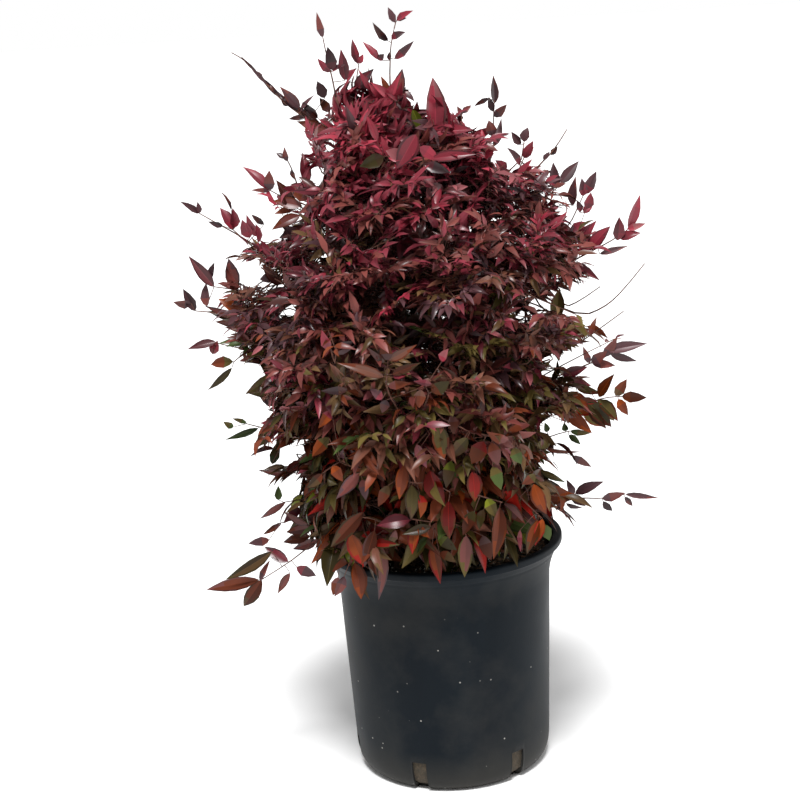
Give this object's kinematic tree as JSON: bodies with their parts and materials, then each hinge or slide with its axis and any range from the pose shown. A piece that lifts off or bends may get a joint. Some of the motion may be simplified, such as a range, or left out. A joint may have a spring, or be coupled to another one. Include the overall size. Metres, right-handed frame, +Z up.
{
  "type": "potted heavenly bamboo shrub",
  "caption": "Bushy heavenly bamboo with crimson and bronze compound leaves on a clump of unbranched canes, standing in soil in a round black nursery pot.",
  "frame": {"origin": "centre of the pot's flat underside", "axes": "+Z up along the plant, -Y towards the front, +X to the right seen from the front"},
  "size_m": [0.5397, 0.4894, 0.8793],
  "materials": {
    "pot": "black moulded nursery pot, satin, dusty",
    "soil": "damp bark potting mix with pale perlite",
    "cane": "rough grey-brown bark",
    "leaves_top": "satin crimson leaves",
    "leaves_upper": "satin burgundy leaves",
    "leaves_middle": "satin maroon leaves with some olive",
    "leaves_lower": "satin bronze and olive leaves",
    "leaves_skirt": "satin olive, orange and red leaves"
  },
  "bodies": {
    "root": {"pot": "pot", "soil": "soil", "cane_lower_1": "cane", "cane_lower_2": "cane", "cane_lower_3": "cane", "cane_lower_4": "cane", "cane_lower_5": "cane", "cane_middle_1": "cane", "cane_middle_2": "cane", "cane_middle_3": "cane", "cane_middle_4": "cane", "cane_middle_5": "cane", "cane_skirt_1": "cane", "cane_skirt_2": "cane", "cane_skirt_3": "cane", "cane_skirt_4": "cane", "cane_skirt_5": "cane", "cane_top": "cane", "cane_upper_1": "cane", "cane_upper_2": "cane", "cane_upper_3": "cane", "cane_upper_4": "cane", "foliage_lower_1": "leaves_lower", "foliage_lower_2": "leaves_lower", "foliage_lower_3": "leaves_lower", "foliage_lower_4": "leaves_lower", "foliage_lower_5": "leaves_lower", "foliage_middle_1": "leaves_middle", "foliage_middle_2": "leaves_middle", "foliage_middle_3": "leaves_middle", "foliage_middle_4": "leaves_middle", "foliage_middle_5": "leaves_middle", "foliage_skirt_1": "leaves_skirt", "foliage_skirt_2": "leaves_skirt", "foliage_skirt_3": "leaves_skirt", "foliage_skirt_4": "leaves_skirt", "foliage_skirt_5": "leaves_skirt", "foliage_top": "leaves_top", "foliage_upper_1": "leaves_upper", "foliage_upper_2": "leaves_upper", "foliage_upper_3": "leaves_upper", "foliage_upper_4": "leaves_upper"}
  },
  "joints": []
}
